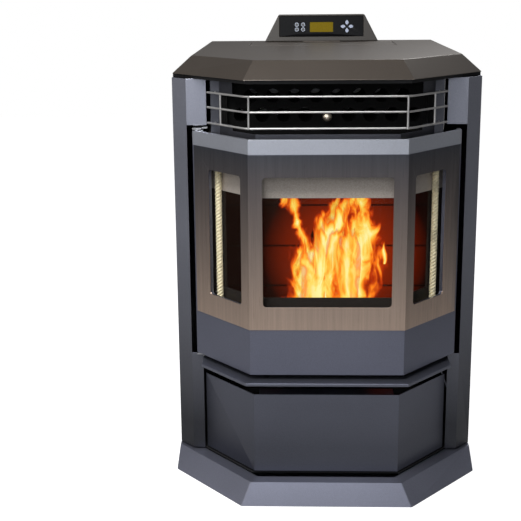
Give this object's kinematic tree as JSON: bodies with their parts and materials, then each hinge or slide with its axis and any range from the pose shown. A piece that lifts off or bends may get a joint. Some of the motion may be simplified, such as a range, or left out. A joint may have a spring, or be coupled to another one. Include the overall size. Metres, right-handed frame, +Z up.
{
  "type": "pellet stove",
  "caption": "Free-standing pellet stove with a three-sided glazed door, wire outlet grille, bay-front ash drawer, bevelled top with hopper lid and a rear keypad housing.",
  "frame": {"origin": "on the floor, under the middle of the overall width and length (with the flue stub)", "axes": "+Z up, front of the stove toward -Y, +X to the right seen from the front"},
  "size_m": [0.612, 0.813, 0.9063],
  "materials": {
    "grey_paint": "satin metallic grey paint",
    "cap_paint": "satin warm grey paint",
    "black_sheet": "matt black",
    "brushed_trim": "vertical brushed grain",
    "steel": "plain",
    "iron": "rough",
    "firebrick": "moulded firebrick",
    "glass": "clear ceramic glass",
    "rope": "woven glass rope",
    "keypad": "gloss black",
    "keys": "silver",
    "lcd": "amber",
    "circuit_board": "green laminate"
  },
  "bodies": {
    "cabinet": {"base_pedestal": "grey_paint", "chassis_plate": "black_sheet", "left_side_panel": "grey_paint", "right_side_panel": "grey_paint", "rear_panel": "black_sheet", "top_frame": "black_sheet", "top_cap": "cap_paint", "lid_hinge": "steel", "hopper": "steel", "keypad_panel": "keypad", "lcd_window": "lcd", "control_board": "circuit_board", "control_housing": "cap_paint", "outlet_surround": "grey_paint", "outlet_duct": "black_sheet", "outlet_grille": "steel", "heat_exchanger": "iron", "firebox_shell": "iron", "firebox_face": "black_sheet", "rear_firebrick": "firebrick", "left_firebrick": "firebrick", "right_firebrick": "firebrick", "baffle_plate": "iron", "burn_pot_seat": "iron", "burn_pot": "iron", "igniter": "steel", "air_intake_pipe": "steel", "auger_tube": "iron", "auger_gearmotor": "black_sheet", "room_blower_housing": "black_sheet", "exhaust_housing": "iron", "exhaust_motor": "black_sheet", "flue_outlet": "black_sheet", "mains_inlet": "keypad", "ash_lip": "grey_paint", "ash_compartment": "black_sheet", "lower_hinge": "steel", "upper_hinge": "steel"},
    "door": {"door_frame": "grey_paint", "door_trim": "brushed_trim", "front_glass": "glass", "left_glass": "glass", "right_glass": "glass", "door_gasket": "rope", "door_catch": "steel"},
    "ash_drawer": {"ash_drawer_front": "grey_paint", "ash_pan": "steel"},
    "lid": {"hopper_lid": "cap_paint"},
    "scraper": {"tube_scraper": "steel"},
    "auger": {"auger_screw": "steel"},
    "room_rotor": {"room_blower_rotor": "steel"},
    "exhaust_wheel": {"exhaust_rotor": "steel"},
    "round_key_1_body": {"round_key_1": "keys"},
    "round_key_2_body": {"round_key_2": "keys"},
    "round_key_3_body": {"round_key_3": "keys"},
    "round_key_4_body": {"round_key_4": "keys"},
    "up_key_body": {"up_key": "keys"},
    "left_key_body": {"left_key": "keys"},
    "down_key_body": {"down_key": "keys"},
    "right_key_body": {"right_key": "keys"}
  },
  "joints": [
    {"name": "door_swing", "type": "hinge", "parent": "cabinet", "child": "door", "pos_m": [-0.25, -0.236, 0.482], "axis": [0, 0, -1], "range_deg": [0, 105]},
    {"name": "drawer_pull", "type": "slide", "parent": "cabinet", "child": "ash_drawer", "axis": [0, -1, 0], "range_m": [0, 0.24]},
    {"name": "lid_lift", "type": "hinge", "parent": "cabinet", "child": "lid", "pos_m": [0, 0.2925, 0.8443], "axis": [-1, 0, 0], "range_deg": [0, 85]},
    {"name": "scraper_pull", "type": "slide", "parent": "cabinet", "child": "scraper", "axis": [0, -1, 0], "range_m": [0, 0.12]},
    {"name": "auger_spin", "type": "hinge", "parent": "cabinet", "child": "auger", "pos_m": [0, 0.2355, 0.35], "axis": [0, -0.7582, 0.652], "continuous": true},
    {"name": "room_rotor_spin", "type": "hinge", "parent": "cabinet", "child": "room_rotor", "pos_m": [-0.13, 0.1905, 0.15], "axis": [1, 0, 0], "continuous": true},
    {"name": "exhaust_rotor_spin", "type": "hinge", "parent": "cabinet", "child": "exhaust_wheel", "pos_m": [0.127, 0.1905, 0.15], "axis": [1, 0, 0], "continuous": true},
    {"name": "round_key_1_press", "type": "slide", "parent": "cabinet", "child": "round_key_1_body", "axis": [0, 0.9848, -0.1736], "range_m": [0, 0.0008], "stiffness_N_per_m": 1500},
    {"name": "round_key_2_press", "type": "slide", "parent": "cabinet", "child": "round_key_2_body", "axis": [0, 0.9848, -0.1736], "range_m": [0, 0.0008], "stiffness_N_per_m": 1500},
    {"name": "round_key_3_press", "type": "slide", "parent": "cabinet", "child": "round_key_3_body", "axis": [0, 0.9848, -0.1736], "range_m": [0, 0.0008], "stiffness_N_per_m": 1500},
    {"name": "round_key_4_press", "type": "slide", "parent": "cabinet", "child": "round_key_4_body", "axis": [0, 0.9848, -0.1736], "range_m": [0, 0.0008], "stiffness_N_per_m": 1500},
    {"name": "up_key_press", "type": "slide", "parent": "cabinet", "child": "up_key_body", "axis": [0, 0.9848, -0.1736], "range_m": [0, 0.0008], "stiffness_N_per_m": 1500},
    {"name": "left_key_press", "type": "slide", "parent": "cabinet", "child": "left_key_body", "axis": [0, 0.9848, -0.1736], "range_m": [0, 0.0008], "stiffness_N_per_m": 1500},
    {"name": "down_key_press", "type": "slide", "parent": "cabinet", "child": "down_key_body", "axis": [0, 0.9848, -0.1736], "range_m": [0, 0.0008], "stiffness_N_per_m": 1500},
    {"name": "right_key_press", "type": "slide", "parent": "cabinet", "child": "right_key_body", "axis": [0, 0.9848, -0.1736], "range_m": [0, 0.0008], "stiffness_N_per_m": 1500}
  ]
}
